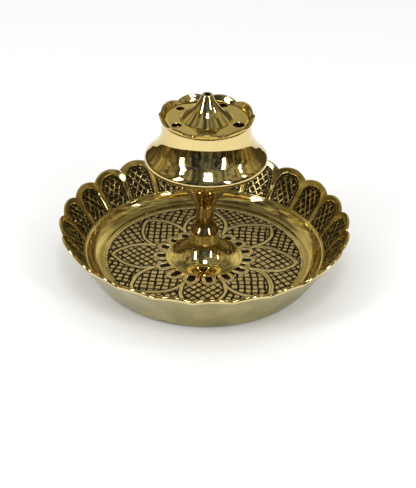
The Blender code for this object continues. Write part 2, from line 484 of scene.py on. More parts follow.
class Effects:
    """Shared surface effects, each one a node group that is built once."""

    def __init__(self) -> None:
        """Build the groups."""
        self.tarnish = self._tarnish()
        self.turning = self._turning()
        self.specks = self._specks()

    @staticmethod
    def _tarnish() -> bpy.types.NodeTree:
        """Cloudy uneven darkening with a few smeared handling marks.

        Returns:
            The group.
        """
        graph, given, result = open_group("Tarnish", [("Amount", 0.5)], ["Cloud", "Smear"])
        place = graph.put("ShaderNodeTexCoord").outputs["Object"]
        broad = graph.noise(place, 55.0, 4.0, 0.6, 0.6)
        fine = graph.noise(place, 420.0, 3.0, 0.6)
        both = graph.math("ADD", graph.math("MULTIPLY", broad, 0.72), graph.math("MULTIPLY", fine, 0.28))
        cloud = graph.math("MULTIPLY", graph.ease(both, 0.42, 0.66), given.outputs[0])
        stretched = graph.put("ShaderNodeMapping", {"Vector": place, "Scale": (1.0, 1.0, 0.35),
                                                    "Rotation": (0.5, 0.3, 0.0)}).outputs[0]
        marks = graph.noise(stretched, 150.0, 5.0, 0.7, 1.2)
        smear = graph.math("MULTIPLY", graph.ease(marks, 0.55, 0.72), given.outputs[0])
        graph.tree.links.new(cloud, result.inputs[0])
        graph.tree.links.new(smear, result.inputs[1])
        return graph.tree

    @staticmethod
    def _turning() -> bpy.types.NodeTree:
        """Fine lines round the axis, as a lathe and a polishing mop leave them.

        Returns:
            The group.
        """
        graph, given, result = open_group("Turning marks", [("Density", 1.0)], ["Lines"])
        place = graph.put("ShaderNodeTexCoord").outputs["Object"]
        axes = graph.put("ShaderNodeSeparateXYZ", {0: place}).outputs
        square = graph.math("ADD", graph.math("MULTIPLY", axes[0], axes[0]),
                            graph.math("MULTIPLY", axes[1], axes[1]))
        radius = graph.math("SQRT", square)
        wander = graph.math("MULTIPLY", graph.noise(place, 90.0, 2.0), 0.0012)
        across = graph.math("MULTIPLY", graph.math("ADD", radius, wander), given.outputs[0])
        height = graph.math("MULTIPLY", graph.math("ADD", axes[2], wander), given.outputs[0])
        turned = graph.put("ShaderNodeCombineXYZ", {0: across, 1: height, 2: 0.0}).outputs[0]
        lines = graph.noise(turned, 2600.0, 3.0, 0.7)
        patches = graph.ease(graph.noise(place, 130.0, 2.0), 0.35, 0.65)
        graph.tree.links.new(graph.math("MULTIPLY", lines, patches), result.inputs[0])
        return graph.tree

    @staticmethod
    def _specks() -> bpy.types.NodeTree:
        """Small casting pits and oxide specks.

        Returns:
            The group.
        """
        graph, given, result = open_group("Specks", [("Size", 0.2), ("Density", 600.0)], ["Mask"])
        place = graph.put("ShaderNodeTexCoord").outputs["Object"]
        cells = graph.put("ShaderNodeTexVoronoi", {"Vector": place, "Scale": given.outputs[1]})
        keep = graph.ease(graph.noise(place, 210.0, 2.0), 0.52, 0.62)
        near = graph.math("SUBTRACT", given.outputs[0], cells.outputs["Distance"])
        dot = graph.math("MULTIPLY", near, 9.0, clamp=True)
        graph.tree.links.new(graph.math("MULTIPLY", dot, keep), result.inputs[0])
        return graph.tree


@dataclass(frozen=True)
class MetalFinish:
    """One metal finish.

    Attributes:
        name: Name of the material.
        colour: Clean metal, linear.
        dull: Tarnished metal, linear.
        roughness: Roughness where it is clean.
        haze: Added roughness where it is tarnished.
        tarnish: Amount of tarnish.
        speck: Size of the specks in their cells.
        line_height: Height of the turning marks in millimetres.
        wave_height: Height of the slow waves in millimetres.
        wave_scale: Waves per metre.
        chased: Whether the piece carries patina, gloss and satin masks.
    """

    name: str
    colour: Colour
    dull: Colour
    roughness: float
    haze: float = 0.12
    tarnish: float = 0.5
    speck: float = 0.16
    line_height: float = 0.002
    wave_height: float = 0.006
    wave_scale: float = 160.0
    chased: bool = False

    def build(self, effects: Effects) -> bpy.types.Material:
        """Make the material.

        Args:
            effects: The shared effects.

        Returns:
            The material.
        """
        material = bpy.data.materials.new(self.name)
        material.use_nodes = True
        graph = Graph(material.node_tree)
        shader = material.node_tree.nodes["Principled BSDF"]
        link = material.node_tree.links.new
        place = graph.put("ShaderNodeTexCoord").outputs["Object"]
        tarnish = graph.put("ShaderNodeGroup", node_tree=effects.tarnish)
        tarnish.inputs["Amount"].default_value = self.tarnish
        marks = graph.put("ShaderNodeGroup", node_tree=effects.turning)
        specks = graph.put("ShaderNodeGroup", node_tree=effects.specks)
        specks.inputs["Size"].default_value = self.speck
        lines, cloud, smear = marks.outputs[0], tarnish.outputs["Cloud"], tarnish.outputs["Smear"]
        colour = graph.blend(cloud, self.colour, self.dull)
        colour = graph.blend(graph.math("MULTIPLY", specks.outputs[0], 0.7), colour,
                             tuple(channel * 0.25 for channel in self.dull))
        haze = graph.math("ADD", graph.math("MULTIPLY", cloud, self.haze),
                          graph.math("MULTIPLY", smear, self.haze * 0.7))
        haze = graph.math("ADD", haze, graph.math("MULTIPLY", lines, self.haze * 0.8))
        rough = graph.math("ADD", haze, self.roughness)
        height = graph.math("MULTIPLY", lines, self.line_height)
        waves = graph.math("MULTIPLY", graph.noise(place, self.wave_scale, 2.0), self.wave_height)
        height = graph.math("ADD", height, waves)
        if self.chased:
            colour, rough, height = self._chase(graph, shader, place, colour, rough, height)
        else:
            shader.inputs["Metallic"].default_value = 1.0
        link(colour, shader.inputs["Base Color"])
        link(graph.math("MINIMUM", rough, 1.0), shader.inputs["Roughness"])
        bump = graph.put("ShaderNodeBump", {"Strength": 1.0, "Distance": MM, "Height": height})
        link(bump.outputs[0], shader.inputs["Normal"])
        return material

    @staticmethod
    def _chase(graph: Graph, shader: bpy.types.Node, place: bpy.types.NodeSocket,
               colour: bpy.types.NodeSocket, rough: bpy.types.NodeSocket,
               height: bpy.types.NodeSocket) -> tuple[bpy.types.NodeSocket, ...]:
        """Add dark patina in the recesses, worn tops lightened further with a painted sheen, gloss on the
        step and a satin outside painted paler on its left side as painted light.

        Args:
            graph: The material's graph.
            shader: Its shader.
            place: Object coordinates.
            colour: Colour so far.
            rough: Roughness so far.
            height: Relief so far.

        Returns:
            The new colour, roughness and relief.
        """
        masks = {mask: graph.put("ShaderNodeAttribute", attribute_name=mask.value).outputs["Fac"]
                 for mask in Mask}
        grain = graph.noise(place, 1500.0, 3.0, 0.65)
        stain = graph.noise(place, 260.0, 3.0, 0.6)
        uneven = graph.math("ADD", graph.math("MULTIPLY", grain, 0.35), graph.math("MULTIPLY", stain, 0.35))
        deep = graph.ease(graph.math("ADD", masks[Mask.PATINA], graph.math("SUBTRACT", uneven, 0.35)),
                          0.16, 0.56)
        black_oxide, brown_oxide = (0.010, 0.009, 0.005), (0.060, 0.046, 0.018)
        oxide = graph.blend(stain, black_oxide, brown_oxide)
        satin = masks[Mask.SATIN]
        # Painted light: the satin outside is painted paler on its left (-X) side, where the lamps light it,
        # and more olive on its right side, as painted shade.
        side = graph.ease(graph.put("ShaderNodeSeparateXYZ", {0: place}).outputs[0], -0.06, 0.0)
        pale, pale_dull = (0.55, 0.51, 0.34), (0.43, 0.40, 0.245)
        olive, olive_dull = (0.45, 0.385, 0.155), (0.33, 0.29, 0.105)
        satin_colour_painted_lit_left = graph.blend(graph.ease(graph.noise(place, 70.0, 4.0, 0.6), 0.35, 0.65),
                                   graph.blend(side, pale, olive), graph.blend(side, pale_dull, olive_dull))
        outside = graph.ease(satin, 0.8, 1.0)
        # Partly wear and partly painted highlight: the raised tops are painted as worn brass brighter than
        # clean brass, a painted sheen for the bright surroundings that they mirror.
        rubbed_tops_and_painted_sheen = (0.97, 0.77, 0.43)
        colour = graph.blend(graph.math("MULTIPLY", satin, 0.8), colour, rubbed_tops_and_painted_sheen)
        colour = graph.blend(outside, colour, satin_colour_painted_lit_left)
        colour = graph.blend(deep, colour, oxide)
        gloss = graph.math("MULTIPLY", masks[Mask.GLOSS], 0.62)
        rough = graph.math("MULTIPLY", rough, graph.math("SUBTRACT", 1.0, gloss))
        rough = graph.math("ADD", rough, graph.math("MULTIPLY", satin, 0.16))
        rough = graph.math("ADD", rough, graph.math("MULTIPLY", deep, 0.28))
        metallic = graph.math("SUBTRACT", 1.0, graph.math("MULTIPLY", deep, 0.12))
        # Lower metallic on the tops lets the even fill light brighten them as well, as part of that painted
        # sheen.
        tops = graph.math("MULTIPLY", satin, graph.math("SUBTRACT", 1.0, outside))
        metallic = graph.math("SUBTRACT", metallic, graph.math("MULTIPLY", tops, 0.24))
        graph.tree.links.new(metallic, shader.inputs["Metallic"])
        coarse = graph.math("MULTIPLY", grain, graph.ease(masks[Mask.PATINA], 0.0, 1.0, 0.006, 0.09))
        still = graph.math("SUBTRACT", 1.0, graph.math("MULTIPLY", masks[Mask.GLOSS], 0.85))
        height = graph.math("ADD", height, graph.math("MULTIPLY", coarse, still))
        return colour, rough, height


@dataclass(frozen=True)
class Finishes:
    """The materials of the burner.

    Attributes:
        chased: Brass of the dish, with patina in its recesses.
        mirror: Polished brass of the foot, the cup and the lid.
        worn: Browner brass of the stem.
        fastener: Dull brass of the screw.
        zinc: Plated steel of the washer and the nut.
    """

    chased: bpy.types.Material
    mirror: bpy.types.Material
    worn: bpy.types.Material
    fastener: bpy.types.Material
    zinc: bpy.types.Material

    @classmethod
    def build(cls) -> "Finishes":
        """Make every material.

        Returns:
            The set.
        """
        effects = Effects()
        brass, dull = (0.76, 0.61, 0.265), (0.48, 0.37, 0.15)
        return cls(
            chased=MetalFinish("Chased brass", brass, dull, 0.13, haze=0.12, tarnish=0.5,
                               wave_height=0.008, chased=True).build(effects),
            mirror=MetalFinish("Mirror brass", brass, dull, 0.035, haze=0.07, tarnish=0.22,
                               speck=0.12, line_height=0.0010, wave_height=0.010,
                               wave_scale=110.0).build(effects),
            worn=MetalFinish("Worn brass", (0.50, 0.36, 0.16), (0.24, 0.15, 0.065), 0.10, haze=0.10,
                             tarnish=0.8, speck=0.14, line_height=0.0012, wave_height=0.008,
                             wave_scale=110.0).build(effects),
            fastener=MetalFinish("Dull brass", (0.42, 0.31, 0.13), (0.16, 0.11, 0.045), 0.34,
                                 tarnish=0.9, speck=0.3, line_height=0.006).build(effects),
            zinc=MetalFinish("Zinc plate", (0.56, 0.57, 0.56), (0.34, 0.34, 0.32), 0.30,
                             tarnish=0.8, speck=0.25, line_height=0.005).build(effects),
        )


# ---------------------------------------------------------------- ash dish


@dataclass
class FloorPattern:
    """Chased pattern of the dish's floor: eight leaves, a collar of loops and hatching.

    Attributes:
        tips: Lean of each leaf's tip from its middle, in degrees.
        lines: Half width of the two outline ridges of each leaf, in millimetres.
        loops: Direction of each loop round the foot, in degrees.
        loop_out: Distance of the loops' round ends from the axis, in millimetres.
        loop_radius: Radius of a loop's outline.
        loop_hole: Radius of the recess inside a loop.
        rim: Radius where the leaves end and the ticked ring begins.
        pitch: Pitch of the hatching in millimetres.
        groove: Half width of the finest grooves of the hatching.
        depth: Depth of the recesses in millimetres.
    """

    tips: tuple[float, ...] = (-5.2, -3.3, -3.0, -3.5, -1.5, -3.0, -3.0, -2.7)
    lines: tuple[float, ...] = (0.90, 1.15, 0.80, 1.15, 0.85, 0.80, 0.85, 0.80,
                                0.85, 0.80, 0.90, 0.85, 0.85, 0.85, 0.90, 1.25)
    loops: tuple[float, ...] = (-5.6, 15.7, 36.7, 56.5, 78.0, 98.0, 117.0, 136.0,
                                156.0, 178.0, 204.0, 229.0, 253.0, 277.0, 301.4, 328.0)
    loop_out: float = 21.7
    loop_radius: float = 2.65
    loop_hole: float = 1.6
    rim: float = 47.3
    pitch: float = 3.3
    groove: float = 0.36
    depth: float = 0.6

    def __post_init__(self) -> None:
        """Work out the leaf's outline as half width in degrees against radius."""
        knots = [(22.0, 22.5), (25.0, 22.4), (27.5, 21.7), (30.4, 20.2), (33.0, 18.3), (36.0, 15.2),
                 (38.5, 12.0), (41.0, 8.1), (43.2, 4.2), (45.2, 0.0), (46.6, -3.0), (49.0, -8.0)]
        rows = np.array(smooth_run(knots, 0.25))
        self._radius, self._half = rows[:, 0], rows[:, 1]
        self._slope = np.gradient(np.radians(self._half), self._radius)

    def heights(self, x: Array, y: Array) -> Array:
        """Height share of the pattern, from 0 in a recess to 1 on a ridge.

        Args:
            x: Place on the floor in millimetres.
            y: Place on the floor in millimetres.

        Returns:
            The shares.
        """
        none = np.zeros_like(x)
        x = x + 0.16 * ripple(x, y, none, 7.0, 3)
        y = y + 0.16 * ripple(x, y, none, 7.0, 4)
        radius = np.hypot(x, y)
        angle = np.degrees(np.arctan2(y, x))
        sector = 360.0 / len(self.tips)
        leaf = np.round(angle / sector)
        number = np.mod(leaf, len(self.tips)).astype(int)
        lean = np.array(self.tips)[number] * ease(27.0, 44.0, radius)
        off = angle - leaf * sector - lean
        half = np.interp(radius, self._radius, self._half)
        slope = radius * np.interp(radius, self._radius, self._slope)
        edge = radius * np.radians(np.abs(off) - half) / np.sqrt(1.0 + slope ** 2)
        side = np.mod(2 * number + (off > 0), len(self.lines))
        width = np.array(self.lines)[side]
        middle = np.where(width > 1.0, 0.45, 0.1)
        ridge = band(edge - middle, width)
        groove = band(edge - middle, 0.14, 0.22) * ease(0.95, 1.05, width)
        ridge = ridge * (1.0 - 0.6 * groove)
        inside = ease(0.45, 0.75, -edge - width + middle)
        outside = ease(0.45, 0.75, edge - middle - width)
        hatch_in = self._hatch(x, y, leaf * sector + lean * 0.6, number, self.pitch)
        spandrel = np.floor(angle / sector)
        hatch_out = self._hatch(x, y, spandrel * sector + 28.0, spandrel + 20, self.pitch * 0.98)
        share = np.maximum(ridge, inside * hatch_in)
        share = np.maximum(share, outside * hatch_out * (1.0 - ease(self.rim - 0.4, self.rim, radius)))
        collar, near = self._collar(x, y, radius)
        share = np.where(near, collar, share)
        ticks = band(np.mod(angle * 0.42 + 0.6 * ripple(x, y, none, 9.0, 8), 1.0) - 0.5, 0.2, 0.25)
        share = np.maximum(share, ticks * ease(self.rim - 0.3, self.rim, radius) * 0.85)
        return np.maximum(share, ease(self.rim + 0.4, self.rim + 0.7, radius))

    def _hatch(self, x: Array, y: Array, direction: Array, seed: Array, pitch: float) -> Array:
        """Raised squares between crossed grooves, a little different from cell to cell.

        Args:
            x: Place in millimetres.
            y: Place in millimetres.
            direction: Axis of the field in degrees; the grooves run at 45 degrees to it.
            seed: Number of the field.
            pitch: Distance between grooves.

        Returns:
            Height shares.
        """
        turn = np.radians(direction + 45.0 + 8.0 * (chance(seed, 5.0) - 0.5))
        pitch = pitch * (0.94 + 0.12 * chance(seed, 9.0))
        u = (x * np.cos(turn) + y * np.sin(turn)) / pitch + chance(seed, 1.0)
        v = (-x * np.sin(turn) + y * np.cos(turn)) / pitch + chance(seed, 2.0)
        column, row = np.floor(u), np.floor(v)
        slant = 0.10 * (chance(column, row, seed) - 0.5)
        u_in = (u - column - 0.5 + slant) * pitch
        v_in = (v - row - 0.5 - slant) * pitch
        half = pitch / 2 - self.groove - 0.12 * chance(column, row, seed + 3.0)
        square = band(u_in, half, 0.3) * band(v_in, half, 0.3)
        tilt = (chance(column, row, seed + 5.0) - 0.5) * u_in + (chance(column, row, seed + 6.0) - 0.5) * v_in
        return square * (0.93 - 0.1 * chance(column, row, seed + 7.0) + 0.06 * tilt)

    def _collar(self, x: Array, y: Array, radius: Array) -> tuple[Array, Array]:
        """U-shaped loops that stand round the foot.

        Args:
            x: Place in millimetres.
            y: Place in millimetres.
            radius: Distance from the axis.

        Returns:
            Height shares, and where the loops and their margin cover the leaves.
        """
        share = 0.4 * band(np.mod(radius * 0.9, 1.0) - 0.5, 0.25, 0.3)
        hole = np.zeros_like(x)
        near = radius < 21.0
        for number, direction in enumerate(self.loops):
            turn = math.radians(direction)
            out = x * math.cos(turn) + y * math.sin(turn)
            across = -x * math.sin(turn) + y * math.cos(turn)
            size = 1.0 + 0.12 * (float(chance(number, 3.0)) - 0.5)
            distance = np.hypot(np.maximum(out - self.loop_out, 0.0), across) / size
            here = out > 10.0
            crease = band(distance - self.loop_radius - 0.1, 0.12, 0.22)
            outline = band(distance - self.loop_radius, 1.0) * (1.0 - 0.5 * crease)
            share = np.where(here, np.maximum(share, outline), share)
            hole = np.where(here, np.maximum(hole, band(distance, self.loop_hole, 0.25)), hole)
            near |= here & (distance < 4.0)
        return share * (1.0 - hole), near


@dataclass
class WallPattern:
    """Arched panels chased into the flared wall, one for each scallop.

    Attributes:
        rib: Width of the plain ribs between panels, in millimetres.
        border: Width of the plain band below the lip.
        corner: Corner radius of an arch.
        lozenge: Width and height of a lozenge.
        depth: Depth of the recesses.
    """

    rib: float = 2.3
    border: float = 2.6
    corner: float = 5.2
    lozenge: Point = (3.7, 5.1)
    depth: float = 0.62

    def heights(self, across: Array, up: Array, top: Array, half: Array, panel: Array) -> Array:
        """Height share of the pattern, from 0 in a recess to 1 on the plain bands.

        Args:
            across: Distance from the panel's middle in millimetres.
            up: Distance from the ledge along the wall.
            top: Distance of the lip from the ledge along the wall.
            half: Half width of a whole panel.
            panel: Number of the panel.

        Returns:
            The shares.
        """
        across = across + 0.12 * ripple(across, up, panel * 3.1, 5.0, 11)
        side = half - (self.rib + 0.05 * up) / 2 - np.abs(across)
        head = top - self.border - up
        a, b = self.corner - side, self.corner - head
        arch = np.where((a > 0) & (b > 0), self.corner - np.hypot(a, b), np.minimum(side, head))
        foot = up - 0.3
        depth_in = np.minimum(arch, foot)
        plain = 1.0 - ease(0.0, 0.4, depth_in)
        rope = 0.62 + 0.3 * np.sin(math.tau * (up + 0.8 * np.abs(across)) / 1.7 + chance(panel, 4.0) * 6.0)
        bead = band(arch - 1.35, 0.36, 0.35) * rope * ease(0.0, 0.5, foot)
        skew = 0.9 + 0.2 * chance(panel, 2.0)
        p = across / self.lozenge[0] * skew + chance(panel, 6.0)
        q = up / self.lozenge[1] + chance(panel, 7.0)
        first, second = p + q, p - q
        row, column = np.floor(first), np.floor(second)
        u_in, v_in = first - row - 0.5, second - column - 0.5
        thick = 0.13 + 0.05 * chance(row, column, panel)
        line = np.maximum(band(np.abs(u_in) - 0.5, thick, 0.16), band(np.abs(v_in) - 0.5, thick, 0.16))
        uneven = 0.78 + 0.22 * ripple(across, up, panel * 2.3, 2.6, 12)
        lean, nod = chance(row, column, panel + 3.0) - 0.5, chance(row, column, panel + 4.0) - 0.5
        tilt = lean * u_in + nod * v_in
        boss = band(np.hypot(u_in, v_in), 0.17, 0.3) * (0.34 + 0.9 * tilt)
        cell = np.clip(np.maximum(line * uneven, boss), 0.0, 1.0)
        cell = cell * ease(1.9, 2.3, arch) * ease(0.2, 0.6, foot)
        return np.maximum(plain, np.maximum(bead, cell))


@dataclass
class Dish:
    """The ash dish: scalloped wall with its foot ring, and the floor with its inner step.

    Attributes:
        scallops: Number of scallops.
        phase: Direction of one notch in degrees.
        rise: Height of a scallop along the wall.
        notch: Lip at the notches, inner edge.
        ledge: Outer edge of the ledge, where the wall starts.
        middle: Point halfway up the wall's inner side.
        lip_width: Thickness of the wall at its lip.
        lip_swell: Height of the lip's rounding.
        floor_z: Height of the floor.
        floor_radius: Radius of the chased floor.
        wall_steps: Segments round the wall.
        floor_steps: Segments round the floor.
    """

    scallops: int = 24
    phase: float = -79.0
    rise: float = 3.0
    notch: Point = (67.6, 24.4)
    ledge: Point = (58.2, 10.7)
    middle: Point = (62.5, 17.0)
    lip_width: float = 1.55
    lip_swell: float = 0.42
    floor_z: float = 5.1
    floor_radius: float = 48.5
    wall_steps: int = 960
    floor_steps: int = 800

    def wall(self) -> bpy.types.Object:
        """The flared wall with its lip, outer side and foot ring.

        Returns:
            The object.
        """
        slope = Vector((self.notch[0] - self.ledge[0], self.notch[1] - self.ledge[1])).normalized()
        inner = even_run([self.ledge, self.middle, self.notch], 0.37)
        lip_out = (self.notch[0] + self.lip_width * slope[1], self.notch[1] - self.lip_width * slope[0])
        lip = []
        for step in range(1, 6):
            t = math.pi * step / 6
            share = (1 - math.cos(t)) / 2
            swell = self.lip_swell * math.sin(t)
            lip.append((self.notch[0] + (lip_out[0] - self.notch[0]) * share + slope[0] * swell,
                        self.notch[1] + (lip_out[1] - self.notch[1]) * share + slope[1] * swell))
        outer = smooth_run([lip_out, (64.3, 17.3), (60.4, 11.6), (57.4, 6.7), (54.9, 2.8), (53.3, 0.9)], 1.1)
        ring = [(52.6, 0.35), (51.5, 0.0), (47.5, 0.0), (46.9, 0.3), (46.4, 1.2), (45.6, 2.9)]
        hidden = [(46.0, 3.9), (48.0, 4.1), (49.3, 5.1), (54.4, 5.2), (56.5, 6.1), (57.4, 8.2),
                  (57.5, 10.1), (58.1, 10.3)]
        profile = inner + lip + outer + ring + hidden
        obj = Turning("scalloped_wall", profile, self.wall_steps, self.phase).build()
        surface = Surface(obj)
        self._shape_wall(surface, slope, len(inner), len(inner) + len(lip), len(profile) - len(hidden))
        surface.write()
        return obj

    def _shape_wall(self, surface: Surface, slope: Vector, lip: int, outer: int, hidden: int) -> None:
        """Raise the scallops, cut the panels and mark the zones.

        Args:
            surface: The turned wall.
            slope: Direction up the wall in the profile plane.
            lip: First profile index of the lip.
            outer: First profile index of the outer side.
            hidden: First profile index of the hidden seam.
        """
        pattern = WallPattern()
        radius, angle, height = surface.radius, surface.angle, surface.co[:, 2].copy()
        share = np.clip((height - self.ledge[1]) / (self.notch[1] - self.ledge[1]), 0.0, 1.0) ** 2
        share[surface.between(hidden, LAST_RUN)] = 0.0
        lift = scallop_lift(angle, self.scallops, self.phase, self.rise, self.notch[0])
        lift = lift + 0.10 * ripple(*surface.co.T, 26.0, 21)
        up = np.hypot(radius - self.ledge[0], height - self.ledge[1]) + lift * share
        top = math.dist(self.ledge, self.notch) + lift
        surface.push(slope[0] * lift * share, slope[1] * lift * share)
        pitch = 360.0 / self.scallops
        panel = np.floor((angle - self.phase) / pitch)
        off = np.mod(angle - self.phase, pitch) - pitch / 2
        reach = surface.radius
        heights = pattern.heights(reach * np.radians(off), up, top, reach * math.radians(pitch / 2), panel)
        inner = surface.between(0, lip - 1)
        heights = np.where(inner, heights, 1.0)
        cut = pattern.depth * (1.0 - heights)
        uneven = 0.05 * ripple(*surface.co.T, 9.0, 22) * ~surface.between(hidden, LAST_RUN)
        surface.push(slope[1] * (cut + uneven), -slope[0] * (cut + uneven))
        outside = surface.between(outer + 1, LAST_RUN)
        surface.mask(Mask.PATINA, 1.0 - heights)
        surface.mask(Mask.GLOSS, np.where(surface.between(lip, outer), 0.6, 0.0)
                     + np.where(inner, 0.75 * heights, 0.0))
        # The satin mask marks the outer side, which the chased finish paints paler on its left as painted
        # light.
        surface.mask(Mask.SATIN, outside.astype(float))

    def tray(self) -> bpy.types.Object:
        """The chased floor with the bounding ring, the mirror-polished step and the ledge.

        Returns:
            The object.
        """
        field = even_run([(17.0, self.floor_z), (self.floor_radius, self.floor_z)], 0.34)
        step = [(48.6, 5.25), (48.95, 5.5)] + smooth_run(
            [(49.3, 5.6), (51.6, 5.75), (53.6, 6.6), (55.3, 7.95), (56.4, 9.2), (57.15, 10.3)], 0.5)
        step += [(57.25, 10.55), (57.5, 10.7), (58.45, 10.7)]
        under = [(58.6, 10.1), (57.9, 8.2), (57.0, 6.2), (54.4, 4.7), (49.2, 4.0), (46.2, 3.6),
                 (46.2, 2.9), (30.0, 2.9), (BORE, 2.9)]
        profile = [(BORE, self.floor_z)] + field + step + under
        obj = Turning("tray_floor", profile, self.floor_steps, 0.0).build()
        surface = Surface(obj)
        pattern = FloorPattern()
        chased = surface.between(1, len(field))
        heights = np.where(chased, pattern.heights(surface.co[:, 0], surface.co[:, 1]), 1.0)
        heights = np.where(surface.between(0, 1), 0.0, heights)
        drop = pattern.depth * (1.0 - heights)
        visible = surface.between(0, len(field) + len(step))
        uneven = np.where(visible, 0.03 * ripple(*surface.co.T, 11.0, 31), 0.0)
        surface.push(0.0, np.where(surface.between(0, len(field)), -drop, 0.0) + uneven)
        surface.mask(Mask.PATINA, 1.0 - heights)
        surface.mask(Mask.GLOSS, surface.between(len(field) + 1, len(field) + len(step)).astype(float))
        # The satin mask on the floor follows the relief's tops; the chased finish paints them as worn brass
        # with a painted sheen.
        surface.mask(Mask.SATIN, np.where(surface.between(0, len(field)), 0.75 * heights, 0.0)
                     + surface.between(len(field) + len(step) + 1, LAST_RUN))
        surface.write()
        return obj

    def build(self, finishes: Finishes) -> None:
        """Build and dress both parts of the dish.

        Args:
            finishes: The materials.
        """
        settle(self.wall(), "burner", finishes.chased, ["dish"], CHASED_CREASE)
        settle(self.tray(), "burner", finishes.chased, ["dish"], CHASED_CREASE)


# ---------------------------------------------------------------- foot, stem and cup


@dataclass
class Foot:
    """The bell-shaped foot, hollow below.

    Attributes:
        radius: Radius at the bottom edge.
        base_z: Height of the bottom edge.
        top: Radius and height of the collar.
        steps: Segments round the axis.
    """

    radius: float = 19.0
    base_z: float = 4.95
    top: Point = (6.9, 20.4)
    steps: int = 288

    def build(self, finishes: Finishes) -> None:
        """Build and dress the foot.

        Args:
            finishes: The materials.
        """
        outside = smooth_run([(self.top[0] + 0.05, self.top[1] - 0.2), (7.1, 18.2), (7.5, 15.2),
                              (8.5, 12.7), (10.2, 10.4), (12.6, 8.2), (15.2, 6.8), (17.6, 6.12),
                              (self.radius - 0.25, 5.95)], 0.35)
        edge = [(self.radius - 0.06, 5.85), (self.radius, 5.65), (self.radius, self.base_z + 0.2),
                (self.radius - 0.2, self.base_z), (self.radius - 1.4, self.base_z)]
        inside = [(15.0, 5.6), (12.6, 6.7), (10.4, 8.1), (8.6, 9.9), (7.2, 12.2), (6.2, 14.6), (5.0, 16.4),
                  (BORE, 16.4)]
        profile = [(BORE, self.top[1]), (self.top[0] - 0.25, self.top[1])] + outside + edge + inside
        obj = Turning("foot_bell", profile, self.steps).build()
        surface = Surface(obj)
        surface.unevenness(0.02, 16.0, 41)
        surface.write()
        settle(obj, "burner", finishes.mirror, ["bell_foot"])


@dataclass
class Stem:
    """The stem: a trumpet that flares up to the cup from a narrow waist.

    Attributes:
        base: Radius and height of its lower end.
        waist: Radius and height of the waist.
        top: Radius and height of its upper end.
        steps: Segments round the axis.
    """

    base: Point = (6.8, 20.45)
    waist: Point = (4.15, 30.5)
    top: Point = (12.7, 47.45)
    steps: int = 240

    def build(self, finishes: Finishes) -> None:
        """Build and dress the stem.

        Args:
            finishes: The materials.
        """
        outside = smooth_run([(self.top[0] - 0.08, self.top[1] - 0.15), (10.9, 45.1), (9.5, 43.1),
                              (7.6, 40.2), (5.8, 37.2), (4.65, 34.3), self.waist, (4.35, 26.4),
                              (4.95, 24.3), (6.15, 22.4), (self.base[0], self.base[1] + 0.75)], 0.35)
        rim = [(self.top[0] - 0.25, self.top[1])]
        ends = [(self.base[0], self.base[1] + 0.25), (self.base[0] - 0.25, self.base[1]),
                (BORE, self.base[1])]
        obj = Turning("stem_turning", [(BORE, self.top[1])] + rim + outside + ends, self.steps).build()
        surface = Surface(obj)
        surface.unevenness(0.02, 14.0, 42)
        surface.write()
        settle(obj, "burner", finishes.worn, ["stem"])


@dataclass
class Cup:
    """The cup: low rounded body, waisted neck and a scalloped mouth with a seat for the lid.

    Attributes:
        scallops: Number of scallops.
        phase: Direction of one notch in degrees.
        rise: Height of a scallop.
        notch: Outer edge of the lip at the notches.
        mouth: Radius of the recess that takes the lid.
        seat_z: Height of the seat.
        lift_z: Height from which the scallops rise.
        steps: Segments round the axis.
    """

    scallops: int = 9
    phase: float = 90.0
    rise: float = 1.7
    notch: Point = (22.0, 81.7)
    mouth: float = 19.65
    seat_z: float = 79.1
    lift_z: float = 79.6
    steps: int = 540

    def build(self, finishes: Finishes) -> None:
        """Build and dress the cup.

        Args:
            finishes: The materials.
        """
        outside = smooth_run([(self.notch[0], self.notch[1] - 0.2), (21.25, 80.5), (21.03, 79.2),
                              (21.05, 77.0), (21.17, 74.5), (21.7, 72.0), (22.8, 69.5), (24.3, 67.0),
                              (26.5, 64.5), (28.75, 62.0), (29.1, 60.3), (28.2, 58.7), (26.0, 57.4),
                              (22.0, 56.1), (18.2, 54.3), (15.6, 51.7), (13.8, 49.3), (12.8, 47.6)], 0.5)
        bore = [(12.55, 47.47), (BORE, 47.47), (BORE, 49.5)]
        inside = even_run([(2.6, 49.5), (9.8, 49.5)], 1.2) + smooth_run(
            [(10.2, 49.8), (12.4, 53.6), (16.6, 56.0), (24.0, 58.9), (26.9, 60.6), (26.8, 62.0),
             (24.8, 64.6), (22.6, 67.0), (21.0, 69.4), (19.6, 73.5), (18.3, 76.0)], 0.9)
        rebate = [(18.3, 77.5), (18.3, self.seat_z - 0.15), (18.45, self.seat_z), (self.mouth, self.seat_z)]
        rebate += even_run([(self.mouth, self.seat_z + 0.3), (self.mouth, 80.6), (20.8, 81.55)], 0.5)
        lip = [(20.95, self.notch[1]), (21.35, self.notch[1] + 0.13), (21.8, self.notch[1] + 0.05)]
        obj = Turning("cup_shell", lip + outside + bore + inside + rebate, self.steps, self.phase).build()
        surface = Surface(obj)
        height = surface.co[:, 2]
        share = np.clip((height - self.lift_z) / (self.notch[1] - self.lift_z), 0.0, 1.0) ** 2
        lift = scallop_lift(surface.angle, self.scallops, self.phase, self.rise, self.notch[0])
        lift = lift + 0.05 * ripple(*surface.co.T, 12.0, 51)
        surface.push(0.3 * lift * share, 0.95 * lift * share)
        surface.unevenness(0.02, 18.0, 43)
        surface.write()
        settle(obj, "burner", finishes.mirror, ["cup"])


# ---------------------------------------------------------------- lid


